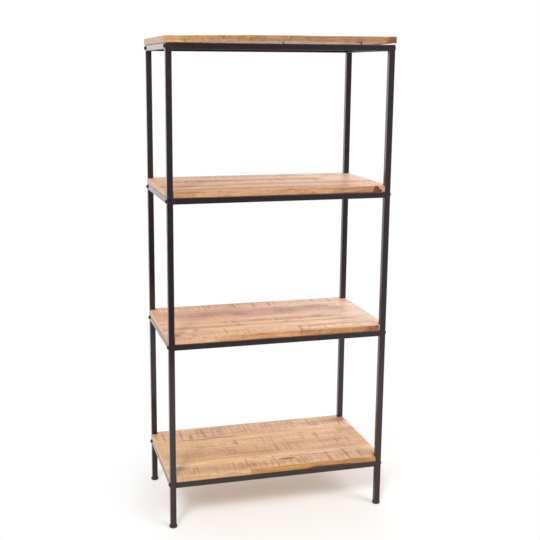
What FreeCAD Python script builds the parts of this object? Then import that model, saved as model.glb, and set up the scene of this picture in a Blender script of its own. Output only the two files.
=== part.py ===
import FreeCAD, Part
import os
import Sketcher

# Free-standing shelving unit: a frame of black square steel tube with four
# solid wood boards.  +Z is up, +X is to the right of someone facing the unit,
# and -Y is its front.  The origin is on the floor under the middle of the
# unit.  All sizes are in millimetres.

doc = FreeCAD.newDocument("pipe_shelving_unit")

# ---------------------------------------------------------------- dimensions

DIMENSIONS = [
    ("frame_width", 760, "outside width over the uprights"),
    ("frame_depth", 408, "outside depth over the uprights"),
    ("first_tier", 164, "height of the bottom rails' top above the floor"),
    ("tier_pitch", 482, "height from one tier of rails to the next"),
    ("tube_size", 20, "side of the square tube"),
    ("tube_wall", 1.5, "wall of the tube"),
    ("tube_corner", 2.5, "outer corner radius of the tube"),
    ("board_thickness", 21, "thickness of every board"),
    ("board_ease", 1.5, "chamfer that eases the boards' edges"),
    ("notch_gap", 1, "gap between a board's notch and the upright"),
    ("top_overhang", 2, "how far the top board stands out past the frame"),
    ("top_lift", 5, "rise of the top board's front right corner, which has wound"),
    ("bolt_size", 8, "diameter of the frame bolts"),
    ("bolt_head", 14, "diameter of the frame bolts' button heads"),
    ("bolt_head_height", 4.4, "height of those heads"),
    ("bolt_head_rim", 1, "height of the straight rim under the dome"),
    ("bolt_socket", 5, "width across flats of the hexagon socket"),
    ("bolt_socket_depth", 2.6, "depth of that socket"),
    ("bolt_play", 0.25, "radial play of a bolt in the upright"),
    ("bolt_end_gap", 3, "what the nut block is longer than the bolt in it"),
    ("nut_length", 18, "length of the nut block in a rail's end"),
    ("plug_play", 0.1, "gap between a plug and the inside of the tube"),
    ("thread_play", 0.05, "radial play of a thread, which is drawn plain"),
    ("screw_spacing", 264, "distance between the board screws along a rail"),
    ("screw_size", 4, "diameter of the board screws"),
    ("screw_grip", 14, "length of a board screw in the wood"),
    ("screw_head", 8, "diameter of the board screws' pan heads"),
    ("screw_head_height", 2.8, "height of those heads"),
    ("screw_head_rim", 0.8, "height of the straight rim under the dome"),
    ("screw_socket", 2.5, "width across flats of the screws' socket"),
    ("screw_socket_depth", 1.5, "depth of that socket"),
    ("screw_play", 0.25, "radial play of a board screw in the rail"),
    ("access_play", 0.5, "radial play of a screw's head in the hole under it"),
    ("pilot_play", 0.15, "gap round and over a board screw in its hole in the wood"),
    ("foot_diameter", 28, "diameter of the foot's disc"),
    ("foot_thickness", 8, "thickness of the disc"),
    ("foot_round", 3, "radius round the disc's lower edge"),
    ("foot_gap", 0.3, "gap over the disc when the foot is screwed right in"),
    ("insert_flange", 2, "thickness of the insert's flange under the tube"),
    ("insert_length", 22, "length of the insert inside the tube"),
    ("stud_size", 8, "diameter of the foot's threaded stud"),
    ("stud_length", 28, "length of that stud"),
    ("stud_seat", 5, "depth of the stud in the disc"),
]

sheet = doc.addObject("Spreadsheet::Sheet", "dims")
for row, (alias, number, meaning) in enumerate(DIMENSIONS, 1):
    sheet.set(f"A{row}", meaning)
    sheet.set(f"B{row}", str(number))
    sheet.setAlias(f"B{row}", alias)
doc.recompute()

# Sizes and places that several pieces share, as expressions on the sheet.
HALF_WIDTH = "dims.frame_width / 2"
HALF_DEPTH = "dims.frame_depth / 2"
HALF_TUBE = "dims.tube_size / 2"
POST_X = f"({HALF_WIDTH} - {HALF_TUBE})"
POST_Y = f"({HALF_DEPTH} - {HALF_TUBE})"
FOOT_STACK = "(dims.foot_thickness + dims.foot_gap + dims.insert_flange)"
INNER_SIDE = "(dims.tube_size - 2 * dims.tube_wall)"
INNER_CORNER = "max(dims.tube_corner - dims.tube_wall; 0.2)"
PLUG_SIDE = f"({INNER_SIDE} - 2 * dims.plug_play)"
LONG_RAIL = "(dims.frame_width - 2 * dims.tube_size)"
SIDE_RAIL = "(dims.frame_depth - 2 * dims.tube_size)"
TIERS = ["bottom", "lower", "upper", "top"]
SIDES = {"left": -1, "right": 1}
FRONT_BACK = {"front": -1, "back": 1}


def tier_top(tier):
    """Height of the top of a tier's rails, which is where its board lies."""
    return f"(dims.first_tier + {TIERS.index(tier)} * dims.tier_pitch)"


def value(expression):
    """The number that an expression on the sheet gives."""
    return float(sheet.evalExpression(expression))


# ------------------------------------------------------------ sketch helpers

# Sketcher's numbers for its axes and for the points of a line or a circle.
H_AXIS, V_AXIS = range(-1, -3, -1)
START, END, CENTRE = range(1, 4)
ORIGIN_POINT = (H_AXIS, START)
Y_AXIS = FreeCAD.Vector(0, 1, 0)


def new_body(name):
    body = doc.addObject("PartDesign::Body", name)
    body.Label = name
    return body


def new_sketch(body, name, plane):
    """A sketch on one of the body's own origin planes."""
    support = next(f for f in body.Origin.OriginFeatures if f.Role == plane)
    sketch = body.newObject("Sketcher::SketchObject", f"{body.Name}_{name}")
    sketch.AttachmentSupport = [(support, "")]
    sketch.MapMode = "FlatFace"
    return sketch


def bind(sketch, kind, first, second, expression):
    """A distance from one point to another that follows the sheet."""
    index = sketch.addConstraint(
        Sketcher.Constraint(kind, *first, *second, value(expression))
    )
    sketch.setExpression(f"Constraints[{index}]", expression)


def bind_from_axes(sketch, point, x, y, x_side, y_side):
    """Place a point at x, y from the axes; None puts it on the axis."""
    for kind, axis, size, side in (
        ("DistanceX", V_AXIS, x, x_side),
        ("DistanceY", H_AXIS, y, y_side),
    ):
        if size is None:
            sketch.addConstraint(Sketcher.Constraint("PointOnObject", *point, axis))
        elif side > 0:
            bind(sketch, kind, ORIGIN_POINT, point, size)
        else:
            bind(sketch, kind, point, ORIGIN_POINT, size)


def add_loop(sketch, corners):
    """A closed loop of lines through the corners, joined end to start."""
    first = None
    count = len(corners)
    for number, corner in enumerate(corners):
        following = corners[(number + 1) % count]
        line = Part.LineSegment(
            FreeCAD.Vector(*corner, 0), FreeCAD.Vector(*following, 0)
        )
        added = sketch.addGeometry(line)
        first = added if first is None else first
    for number in range(count):
        following = first + (number + 1) % count
        sketch.addConstraint(
            Sketcher.Constraint("Coincident", first + number, END, following, START)
        )
    return first


def add_rectangle(sketch, width, height):
    """A rectangle round the sketch's origin."""
    x = value(width) / 2
    y = value(height) / 2
    line = add_loop(sketch, [(-x, -y), (x, -y), (x, y), (-x, y)])
    for side, kind in enumerate(["Horizontal", "Vertical"] * 2):
        sketch.addConstraint(Sketcher.Constraint(kind, line + side))
    sketch.addConstraint(
        Sketcher.Constraint("Symmetric", line, START, line + 2, START, *ORIGIN_POINT)
    )
    bind(sketch, "DistanceX", (line, START), (line, END), width)
    bind(sketch, "DistanceY", (line + 1, START), (line + 1, END), height)


def add_outline(sketch, points):
    """A closed outline of lines whose every corner follows the sheet.

    A corner is x, y and the side of the axes that it lies on, +1 or -1 each;
    None in the place of x or y puts it on the axis.
    """
    corners = []
    for x, y, x_side, y_side in points:
        corner_x = 0 if x is None else x_side * value(x)
        corner_y = 0 if y is None else y_side * value(y)
        corners.append((corner_x, corner_y))
    first = add_loop(sketch, corners)
    for number, (x, y, x_side, y_side) in enumerate(points):
        bind_from_axes(sketch, (first + number, START), x, y, x_side, y_side)


def add_circle(sketch, x, y, radius, x_side=1, y_side=1):
    """A circle whose centre is x, y from the axes."""
    centre_x = 0 if x is None else x_side * value(x)
    centre_y = 0 if y is None else y_side * value(y)
    circle = sketch.addGeometry(
        Part.Circle(
            FreeCAD.Vector(centre_x, centre_y, 0),
            FreeCAD.Vector(0, 0, 1),
            value(radius),
        )
    )
    index = sketch.addConstraint(
        Sketcher.Constraint("Radius", circle, value(radius))
    )
    sketch.setExpression(f"Constraints[{index}]", radius)
    bind_from_axes(sketch, (circle, CENTRE), x, y, x_side, y_side)


# ----------------------------------------------------------- feature helpers

# Two places nearer than this are one place.
NEAR = 1e-4


def add_pad(body, sketch, length, symmetric=False, reverse=False):
    pad = body.newObject("PartDesign::Pad", f"{sketch.Name}_pad")
    pad.Profile = sketch
    pad.SideType = "Symmetric" if symmetric else "One side"
    pad.Reversed = reverse
    pad.setExpression("Length", length)
    doc.recompute()
    return pad


def add_pocket(body, sketch, depth=None):
    """Cut a sketch right through the body, or to a depth from its plane."""
    before = body.Shape.Volume
    pocket = body.newObject("PartDesign::Pocket", f"{sketch.Name}_pocket")
    pocket.Profile = sketch
    pocket.SideType = "Symmetric"
    if depth is None:
        pocket.Type = "ThroughAll"
    else:
        pocket.setExpression("Length", f"2 * ({depth})")
    doc.recompute()
    if not 0 < pocket.Shape.Volume < before:
        raise RuntimeError(f"{pocket.Name} cuts nothing or everything")
    return pocket


def dress_edges(body, kind, size_name, size, wanted):
    """Fillet or chamfer those edges of the body's tip that are wanted."""
    base = body.Tip
    names = [
        f"Edge{number}"
        for number, edge in enumerate(base.Shape.Edges, 1)
        if wanted(edge)
    ]
    feature = body.newObject(f"PartDesign::{kind}", f"{body.Name}_{kind.lower()}")
    feature.Base = (base, names)
    feature.setExpression(size_name, size)
    doc.recompute()


def along(axis, half_side):
    """A test for the four edges along an axis at a square's corners."""

    def wanted(edge):
        if not isinstance(edge.Curve, Part.Line):
            return False
        middle = edge.CenterOfMass
        across = [abs(middle[i]) for i in range(3) if i != axis]
        straight = abs(abs(edge.Curve.Direction[axis]) - 1) < NEAR
        return straight and all(abs(c - half_side) < NEAR for c in across)

    return wanted


SECTION_PLANES = ["YZ_Plane", "XZ_Plane", "XY_Plane"]


def square_bar(body, axis, side, corner, length, symmetric=True):
    """A solid square bar with rounded corners along axis 0, 1 or 2."""
    section = new_sketch(body, "section", SECTION_PLANES[axis])
    add_rectangle(section, side, side)
    add_pad(body, section, length, symmetric)
    dress_edges(body, "Fillet", "Radius", corner, along(axis, value(side) / 2))


def square_tube(name, axis, length, symmetric=True):
    """A length of the frame's tube along axis 0, 1 or 2."""
    body = new_body(name)
    square_bar(body, axis, "dims.tube_size", "dims.tube_corner", length, symmetric)
    inside = new_sketch(body, "inside", SECTION_PLANES[axis])
    add_rectangle(inside, INNER_SIDE, INNER_SIDE)
    add_pocket(body, inside)
    inner_edges = along(axis, value(INNER_SIDE) / 2)
    dress_edges(body, "Fillet", "Radius", INNER_CORNER, inner_edges)
    return body


def place(piece, x, y, z):
    """Bind a piece's place to the sheet."""
    for axis, expression in zip("xyz", (x, y, z)):
        if expression is not None:
            piece.setExpression(f"Placement.Base.{axis}", expression)


def signed(side, expression):
    return expression if side > 0 else f"-{expression}"


parts = []

# ------------------------------------------------------------------- uprights
# Square tube from the foot's insert to the top of the highest rails, with a
# hole for a frame bolt through both side walls at each tier.

UPRIGHT_LENGTH = f"({tier_top('top')} - {FOOT_STACK})"
BOLT_HOLE = "(dims.bolt_size / 2 + dims.bolt_play)"


def upright(name, x_side, y_side):
    body = square_tube(name, 2, UPRIGHT_LENGTH, symmetric=False)
    holes = new_sketch(body, "bolt_holes", "YZ_Plane")
    for tier in TIERS:
        height = f"({tier_top(tier)} - {HALF_TUBE} - {FOOT_STACK})"
        add_circle(holes, None, height, BOLT_HOLE)
    add_pocket(body, holes)
    place(body, signed(x_side, POST_X), signed(y_side, POST_Y), FOOT_STACK)
    parts.append(body)


for depth_name, y_side in FRONT_BACK.items():
    for side_name, x_side in SIDES.items():
        upright(f"{depth_name}_{side_name}_upright", x_side, y_side)

# ----------------------------------------------------------------- side rails
# Square tube welded between the front and back uprights of each side.


def side_rail(name, tier, x_side):
    body = square_tube(name, 1, SIDE_RAIL)
    place(body, signed(x_side, POST_X), None, f"{tier_top(tier)} - {HALF_TUBE}")
    parts.append(body)


for tier in TIERS:
    for side_name, x_side in SIDES.items():
        side_rail(f"{tier}_{side_name}_side_rail", tier, x_side)

# ----------------------------------------------------------------- long rails
# Square tube between the left and right uprights.  The board screws pass up
# through its upper wall.  Their heads bear on that wall's inside and go in
# through larger holes in the lower wall, so that nothing stands out below.

SCREW_PLACES = [(None, 1), ("dims.screw_spacing", -1), ("dims.screw_spacing", 1)]
SCREW_HOLE = "(dims.screw_size / 2 + dims.screw_play)"
ACCESS_HOLE = "(dims.screw_head / 2 + dims.access_play)"


def long_rail(name, tier, y_side):
    body = square_tube(name, 0, LONG_RAIL)
    for use, face, radius in (
        ("screw_holes", HALF_TUBE, SCREW_HOLE),
        ("access_holes", f"-{HALF_TUBE}", ACCESS_HOLE),
    ):
        holes = new_sketch(body, use, "XY_Plane")
        holes.setExpression("AttachmentOffset.Base.z", face)
        for x, x_side in SCREW_PLACES:
            add_circle(holes, x, None, radius, x_side)
        add_pocket(body, holes, HALF_TUBE)
    place(body, None, signed(y_side, POST_Y), f"{tier_top(tier)} - {HALF_TUBE}")
    parts.append(body)


for tier in TIERS:
    for depth_name, y_side in FRONT_BACK.items():
        long_rail(f"{tier}_{depth_name}_rail", tier, y_side)

# --------------------------------------------------------------------- boards
# Solid wood, with eased edges.  The three lower boards are notched round the
# uprights and end flush with the frame.  The top board lies over the uprights
# and has wound a little, so its front right corner stands off the frame.

PILOT_HOLE = "(dims.screw_size / 2 + dims.pilot_play)"


def pilot_holes(body):
    """Blind holes in the underside, over the holes in the long rails."""
    holes = new_sketch(body, "pilot_holes", "XY_Plane")
    for y_side in FRONT_BACK.values():
        for x, x_side in SCREW_PLACES:
            add_circle(holes, x, POST_Y, PILOT_HOLE, x_side, y_side)
    add_pocket(body, holes, "dims.screw_grip + dims.pilot_play")


def notched_board(name, tier):
    body = new_body(name)
    outline = new_sketch(body, "outline", "XY_Plane")
    add_rectangle(outline, "dims.frame_width", "dims.frame_depth")
    add_pad(body, outline, "dims.board_thickness")
    dress_edges(body, "Chamfer", "Size", "dims.board_ease", lambda edge: True)
    notches = new_sketch(body, "notches", "XY_Plane")
    near_x = f"({HALF_WIDTH} - dims.tube_size - dims.notch_gap)"
    near_y = f"({HALF_DEPTH} - dims.tube_size - dims.notch_gap)"
    far_x = f"({HALF_WIDTH} + dims.notch_gap)"
    far_y = f"({HALF_DEPTH} + dims.notch_gap)"
    corners = [(near_x, near_y), (far_x, near_y), (far_x, far_y), (near_x, far_y)]
    for x_side in SIDES.values():
        for y_side in FRONT_BACK.values():
            add_outline(notches, [(x, y, x_side, y_side) for x, y in corners])
    add_pocket(body, notches)
    pilot_holes(body)
    place(body, None, None, tier_top(tier))
    parts.append(body)


def on_rim(edge):
    """Whether an edge runs along a side of the board or up a corner of it."""
    return min(edge.BoundBox.XLength, edge.BoundBox.YLength) < NEAR


def top_board(name):
    """The board bends along its diagonal, from the front left corner back."""
    body = new_body(name)
    width = "(dims.frame_width + 2 * dims.top_overhang)"
    depth = "(dims.frame_depth + 2 * dims.top_overhang)"
    diagonal_angle = f"atan({depth} / {width})"
    # The board rises by the lift over the corner's distance from the diagonal.
    # The section is drawn twice as far, to pass the outline on both sides.
    far = f"(2 * {width} * {depth} / sqrt({width}^2 + {depth}^2))"
    rise = "2 * dims.top_lift"
    bend = new_sketch(body, "bend", "YZ_Plane")
    turn = FreeCAD.Rotation(Y_AXIS, value(diagonal_angle))
    bend.AttachmentOffset = FreeCAD.Placement(FreeCAD.Vector(), turn)
    bend.setExpression("AttachmentOffset.Rotation.Angle", diagonal_angle)
    add_outline(
        bend,
        [
            (far, None, 1, 1),
            (far, "dims.board_thickness", 1, 1),
            (None, "dims.board_thickness", 1, 1),
            (far, f"dims.board_thickness + {rise}", -1, 1),
            (far, rise, -1, 1),
            (None, None, 1, 1),
        ],
    )
    add_pad(body, bend, f"{width} + {depth}", symmetric=True)
    # What lies between the outline and a square well outside it is cut away.
    waste = new_sketch(body, "waste", "XY_Plane")
    add_rectangle(waste, width, depth)
    add_rectangle(waste, f"3 * {width}", f"3 * {width}")
    add_pocket(body, waste)
    dress_edges(body, "Chamfer", "Size", "dims.board_ease", on_rim)
    pilot_holes(body)
    place(body, None, None, tier_top("top"))
    parts.append(body)


for tier in TIERS[:-1]:
    notched_board(f"{tier}_board", tier)
top_board("top_board")

# --------------------------------------------------- bolts, nuts and screws
# One pattern piece of each is drawn with its axis along Z and its origin
# under the head, and is then put in each of its places.


def primitive(kind, name, **sizes):
    """A Part primitive, or a boolean when it is given shapes."""
    piece = doc.addObject(f"Part::{kind}", name)
    for size, given in sizes.items():
        if isinstance(given, str):
            piece.setExpression(size, given)
        else:
            setattr(piece, size, given)
    return piece


def domed_screw(name, use, length, tip):
    """A screw with a domed head above Z = 0, a hexagon socket and a shank."""
    head_radius = f"(dims.{use}_head / 2)"
    height = f"dims.{use}_head_height"
    dome = f"({height} - dims.{use}_head_rim)"
    # The dome is a sphere through the rim that is cut flat over the socket.
    flat = f"(dims.{use}_socket * 0.75)"
    sphere_drop = f"((({head_radius})^2 - {flat}^2 - {dome}^2) / (2 * {dome}))"
    ball_radius = f"sqrt(({head_radius})^2 + {sphere_drop}^2)"
    ball_centre = f"(dims.{use}_head_rim - {sphere_drop})"
    drum = primitive("Cylinder", f"{name}_drum", Radius=head_radius, Height=height)
    ball = primitive("Sphere", f"{name}_ball", Radius=ball_radius)
    place(ball, None, None, ball_centre)
    cap = primitive("Common", f"{name}_cap", Base=drum, Tool=ball)
    shank = primitive(
        "Cylinder", f"{name}_shank", Radius=f"dims.{use}_size / 2", Height=length
    )
    place(shank, None, None, f"-{length}")
    solid = primitive("Fuse", f"{name}_solid", Base=cap, Tool=shank)
    socket = primitive(
        "Prism",
        f"{name}_socket",
        Polygon=6,
        Circumradius=f"dims.{use}_socket / sqrt(3)",
        Height=f"dims.{use}_socket_depth * 2",
    )
    place(socket, None, None, f"{height} - dims.{use}_socket_depth")
    cut = primitive("Cut", f"{name}_cut", Base=solid, Tool=socket)
    doc.recompute()
    ends = [
        (number, value(tip), value(tip))
        for number, edge in enumerate(cut.Shape.Edges, 1)
        if isinstance(edge.Curve, Part.Circle)
        and abs(edge.CenterOfMass.z + value(length)) < NEAR
    ]
    pointed = primitive("Chamfer", f"{name}_pattern", Base=cut)
    pointed.Edges = ends
    return pointed


def group(name, pattern, places):
    """Copies of a pattern piece, each at its own place, as one sub-part."""
    copies = []
    for number, (turn, x, y, z) in enumerate(places, 1):
        copy = doc.addObject("App::Link", f"{name}_{number}")
        copy.LinkedObject = pattern
        copy.LinkTransform = False
        copy.Placement = FreeCAD.Placement(FreeCAD.Vector(), turn)
        place(copy, x, y, z)
        copies.append(copy)
    piece = doc.addObject("Part::Compound", name)
    piece.Label = name
    piece.Links = copies
    parts.append(piece)


# Turns that point the head of a pattern piece down, to the left or right.
HEAD_DOWN = FreeCAD.Rotation(Y_AXIS, 180)
HEAD_OUT = {-1: FreeCAD.Rotation(Y_AXIS, -90), 1: FreeCAD.Rotation(Y_AXIS, 90)}

BOLT_LENGTH = "(dims.tube_size + dims.nut_length - dims.bolt_end_gap)"
SCREW_LENGTH = "(dims.tube_wall + dims.screw_grip)"
frame_bolt = domed_screw("frame_bolt", "bolt", BOLT_LENGTH, "dims.bolt_size / 10")
board_screw = domed_screw("board_screw", "screw", SCREW_LENGTH, "dims.screw_size / 4")

# The nut block: a square plug with a thread through it.
nut_block = new_body("nut_block_pattern")
square_bar(nut_block, 2, PLUG_SIDE, INNER_CORNER, "dims.nut_length")
nut_thread = new_sketch(nut_block, "thread", "XY_Plane")
add_circle(nut_thread, None, None, "dims.bolt_size / 2 + dims.thread_play")
add_pocket(nut_block, nut_thread)

NUT_X = f"({HALF_WIDTH} - dims.tube_size - dims.nut_length / 2)"
for tier in TIERS:
    rail_middle = f"{tier_top(tier)} - {HALF_TUBE}"
    bolts = []
    nuts = []
    screws = []
    for y_side in FRONT_BACK.values():
        y = signed(y_side, POST_Y)
        for x_side in SIDES.values():
            bolts.append((HEAD_OUT[x_side], signed(x_side, f"({HALF_WIDTH})"), y, rail_middle))
            nuts.append((HEAD_OUT[x_side], signed(x_side, NUT_X), y, rail_middle))
        for x, x_side in SCREW_PLACES:
            screw_x = None if x is None else signed(x_side, x)
            screws.append((HEAD_DOWN, screw_x, y, f"{tier_top(tier)} - dims.tube_wall"))
    group(f"{tier}_frame_bolts", frame_bolt, bolts)
    group(f"{tier}_nut_blocks", nut_block, nuts)
    group(f"{tier}_board_screws", board_screw, screws)

# ----------------------------------------------------------------------- feet
# A plastic insert closes each upright's lower end and carries the thread.
# A steel stud screws in and out of it and stands in a round plastic disc.


def foot_insert(name, x, y):
    body = new_body(name)
    square_bar(body, 2, "dims.tube_size", "dims.tube_corner", "dims.insert_flange", False)
    plug = new_sketch(body, "plug", "XY_Plane")
    plug.setExpression("AttachmentOffset.Base.z", "dims.insert_flange")
    add_rectangle(plug, PLUG_SIDE, PLUG_SIDE)
    add_pad(body, plug, "dims.insert_length")
    plug_edges = along(2, value(PLUG_SIDE) / 2)
    dress_edges(body, "Fillet", "Radius", INNER_CORNER, plug_edges)
    thread = new_sketch(body, "thread", "XY_Plane")
    add_circle(thread, None, None, "dims.stud_size / 2 + dims.thread_play")
    add_pocket(body, thread)
    place(body, x, y, "dims.foot_thickness + dims.foot_gap")
    parts.append(body)


def levelling_stud(name, x, y):
    rod = primitive(
        "Cylinder", f"{name}_rod", Radius="dims.stud_size / 2", Height="dims.stud_length"
    )
    doc.recompute()
    tip = value("dims.stud_size / 10")
    stud = primitive("Chamfer", name, Base=rod)
    stud.Edges = [
        (number, tip, tip)
        for number, edge in enumerate(rod.Shape.Edges, 1)
        if isinstance(edge.Curve, Part.Circle)
    ]
    stud.Label = name
    place(stud, x, y, "dims.foot_thickness - dims.stud_seat")
    parts.append(stud)


def foot_disc(name, x, y):
    body = new_body(name)
    outline = new_sketch(body, "outline", "XY_Plane")
    add_circle(outline, None, None, "dims.foot_diameter / 2")
    add_pad(body, outline, "dims.foot_thickness")
    dress_edges(
        body, "Fillet", "Radius", "dims.foot_round",
        lambda edge: abs(edge.CenterOfMass.z) < NEAR,
    )
    socket = new_sketch(body, "socket", "XY_Plane")
    socket.setExpression("AttachmentOffset.Base.z", "dims.foot_thickness")
    add_circle(socket, None, None, "dims.stud_size / 2 + dims.thread_play")
    add_pocket(body, socket, "dims.stud_seat")
    place(body, x, y, None)
    parts.append(body)


for depth_name, y_side in FRONT_BACK.items():
    for side_name, x_side in SIDES.items():
        corner = f"{depth_name}_{side_name}"
        foot_x = signed(x_side, POST_X)
        foot_y = signed(y_side, POST_Y)
        foot_insert(f"{corner}_foot_insert", foot_x, foot_y)
        levelling_stud(f"{corner}_levelling_stud", foot_x, foot_y)
        foot_disc(f"{corner}_foot_disc", foot_x, foot_y)

# ----------------------------------------------------------- checks and files

doc.recompute()
for item in doc.Objects:
    bad = {"Invalid", "Error"} & set(item.State)
    if bad:
        raise RuntimeError(f"{item.Name} is in state {', '.join(sorted(bad))}")
for piece in parts:
    if piece.Shape.isNull() or not piece.Shape.isValid():
        raise RuntimeError(f"{piece.Label} has no valid shape")

os.makedirs("parts", exist_ok=True)
for piece in parts:
    piece.Shape.exportStep(os.path.join("parts", f"{piece.Label}.step"))
print(len(parts), "sub-parts written")
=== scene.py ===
import math
import bpy
import numpy as np
from mathutils import Matrix, Vector


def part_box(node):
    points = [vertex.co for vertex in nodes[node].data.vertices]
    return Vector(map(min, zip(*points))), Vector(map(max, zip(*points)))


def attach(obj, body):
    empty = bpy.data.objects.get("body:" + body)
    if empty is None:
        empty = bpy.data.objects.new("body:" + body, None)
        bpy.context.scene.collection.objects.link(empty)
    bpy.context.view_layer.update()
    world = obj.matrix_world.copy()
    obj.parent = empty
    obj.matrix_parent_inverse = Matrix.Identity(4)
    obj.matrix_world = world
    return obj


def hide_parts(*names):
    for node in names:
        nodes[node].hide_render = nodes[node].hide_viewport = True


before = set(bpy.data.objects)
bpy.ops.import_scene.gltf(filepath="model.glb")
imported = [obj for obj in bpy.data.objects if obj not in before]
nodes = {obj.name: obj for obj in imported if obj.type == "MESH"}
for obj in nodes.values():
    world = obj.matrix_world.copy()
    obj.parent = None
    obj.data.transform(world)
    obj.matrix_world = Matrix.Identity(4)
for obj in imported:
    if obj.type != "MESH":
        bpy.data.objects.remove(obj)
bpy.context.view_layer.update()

# ---- Uprights and rails -----------------------------------------------------
# Four uprights, eight side rails and eight long rails of 20 mm square mild steel
# tube.  They are cut, welded into two side ladders, blasted and powder coated.
MM = 0.001
CORNERS = ("front_left", "front_right", "back_left", "back_right")
TIERS = ("bottom", "lower", "upper", "top")


def linear(hex_colour):
    """A colour written as sRGB hex, as Blender's linear red, green, blue and alpha."""
    parts = [int(hex_colour[i:i + 2], 16) / 255 for i in (1, 3, 5)]
    return tuple(p / 12.92 if p <= 0.04045 else ((p + 0.055) / 1.055) ** 2.4 for p in parts) + (1.0,)


def add(tree, kind, wires=None, stops=None, **settings):
    """Adds a node: settings are its own fields, wires its inputs, stops a ramp's (place, value)."""
    node = tree.nodes.new("ShaderNode" + kind)
    for field, value in settings.items():
        setattr(node, field, value)
    for socket, value in (wires or {}).items():
        if isinstance(value, bpy.types.NodeSocket):
            tree.links.new(value, node.inputs[socket])
        else:
            node.inputs[socket].default_value = value
    if stops:
        ramp = node.color_ramp.elements
        while len(ramp) < len(stops):
            ramp.new(1.0)
        for element, (place, value) in zip(ramp, stops):
            element.position = place
            element.color = value if isinstance(value, tuple) else (value, value, value, 1.0)
    return node


def new_material(name):
    """A material with a plain Principled shader, its tree, that shader, and places in metres."""
    material = bpy.data.materials.new(name)
    material.use_nodes = True
    tree = material.node_tree
    place = add(tree, "TexCoord").outputs["Object"]
    return material, tree, tree.nodes["Principled BSDF"], place


# Satin powder coat: a near-black, faintly brown film.  The eye gets soft reflections that
# turn bright at a glancing angle, the fine dimples of the melted powder, and a thinner,
# duller film over the tube's corners and undersides.
coat, tree, shader, place = new_material("powder_coat_satin_black")
# The dimples, the slow clouds in the film, and the odd speck of dust under it.
PEEL, CLOUD, NIB = 1.6 * MM, 70 * MM, 9 * MM
PEEL_DEPTH, NIB_HEIGHT = 0.08 * MM, 0.12 * MM
peel = add(tree, "TexNoise", {"Vector": place, "Scale": 1 / PEEL, "Detail": 1.0})
cloud = add(tree, "TexNoise", {"Vector": place, "Scale": 1 / CLOUD, "Detail": 5.0})
nibs = add(tree, "TexVoronoi", {"Vector": place, "Scale": 1 / NIB})
nib_height = add(tree, "ValToRGB", {"Fac": nibs.outputs["Distance"]}, stops=((0.0, 1.0), (0.05, 0.0)))
# The largest part of the normal is 1 on a flat side and 0.7 in the middle of a corner.
facing = add(tree, "NewGeometry").outputs["Normal"]
either_way = add(tree, "VectorMath", {0: facing}, operation="ABSOLUTE")
sides = add(tree, "SeparateXYZ", {"Vector": either_way.outputs["Vector"]})
widest = sides.outputs["X"]
for axis in ("Y", "Z"):
    widest = add(tree, "Math", {0: widest, 1: sides.outputs[axis]}, operation="MAXIMUM").outputs[0]
corner = add(tree, "ValToRGB", {"Fac": widest}, stops=((0.72, 1.0), (0.95, 0.0)))
thin = add(tree, "Math", {0: corner.outputs["Color"], 1: cloud.outputs["Fac"]}, operation="MULTIPLY")
# A Mix of colours takes them at inputs 6 and 7 and gives its result at output 2.
colour = add(tree, "Mix", {"Factor": cloud.outputs["Fac"], 6: linear("#221A1C"), 7: linear("#2A2023")},
             data_type="RGBA")
colour = add(tree, "Mix", {"Factor": thin.outputs[0], 6: colour.outputs[2], 7: linear("#362C2F")},
             data_type="RGBA")
tree.links.new(colour.outputs[2], shader.inputs["Base Color"])
rough = add(tree, "MapRange", {"Value": cloud.outputs["Fac"], "To Min": 0.17, "To Max": 0.28})
# The powder draws back from the corners, and less of it reaches the undersides.
heights = add(tree, "SeparateXYZ", {"Vector": facing})
under = add(tree, "MapRange", {"Value": heights.outputs["Z"], "From Min": -0.85, "From Max": -0.98})
for share, duller in ((corner.outputs["Color"], 0.25), (under.outputs[0], 0.32)):
    rough = add(tree, "Math", {0: share, 1: duller, 2: rough.outputs[0]}, operation="MULTIPLY_ADD")
tree.links.new(rough.outputs[0], shader.inputs["Roughness"])
shader.inputs["IOR"].default_value = 1.42
thinner = add(tree, "Math", {0: corner.outputs["Color"], 1: under.outputs[0]}, operation="MAXIMUM")
film = add(tree, "MapRange", {"Value": thinner.outputs[0], "To Min": 0.45, "To Max": 0.1})
tree.links.new(film.outputs[0], shader.inputs["Coat Weight"])
shader.inputs["Coat Roughness"].default_value = 0.14
shader.inputs["Coat IOR"].default_value = 1.5
dimples = add(tree, "Bump", {"Height": peel.outputs["Fac"], "Strength": 0.06, "Distance": PEEL_DEPTH})
dimples = add(tree, "Bump", {"Height": nib_height.outputs["Color"], "Strength": 0.1,
                             "Distance": NIB_HEIGHT, "Normal": dimples.outputs["Normal"]})
tree.links.new(dimples.outputs["Normal"], shader.inputs["Normal"])

for tier in TIERS:
    for side in ("left", "right"):
        nodes[f"{tier}_{side}_side_rail"].material_slots[0].material = coat
    for side in ("front", "back"):
        nodes[f"{tier}_{side}_rail"].material_slots[0].material = coat
for corner_name in CORNERS:
    nodes[f"{corner_name}_upright"].material_slots[0].material = coat


# ---- Weld beads -------------------------------------------------------------
# Each side rail is welded between its two uprights.  The bead shows on the inner face and
# underneath; on the outside and under the boards it is ground flush before coating.

# The bead's radius, the share by which a ripple swells it, a ripple's length, its thin ends.
BEAD, RIPPLE, RIPPLE_PITCH, BEAD_END = 1.7 * MM, 0.22, 2.6 * MM, 0.35
BEAD_SIDES, BEAD_STEPS = 10, 26
# It starts a little below the rail's top, turns with the tube's corner and ends underneath.
BELOW_TOP, BEND, UNDERNEATH = 2 * MM, 2.5 * MM, 15 * MM
BEND_ANGLES = (0.4, 0.8, 1.2)


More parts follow.
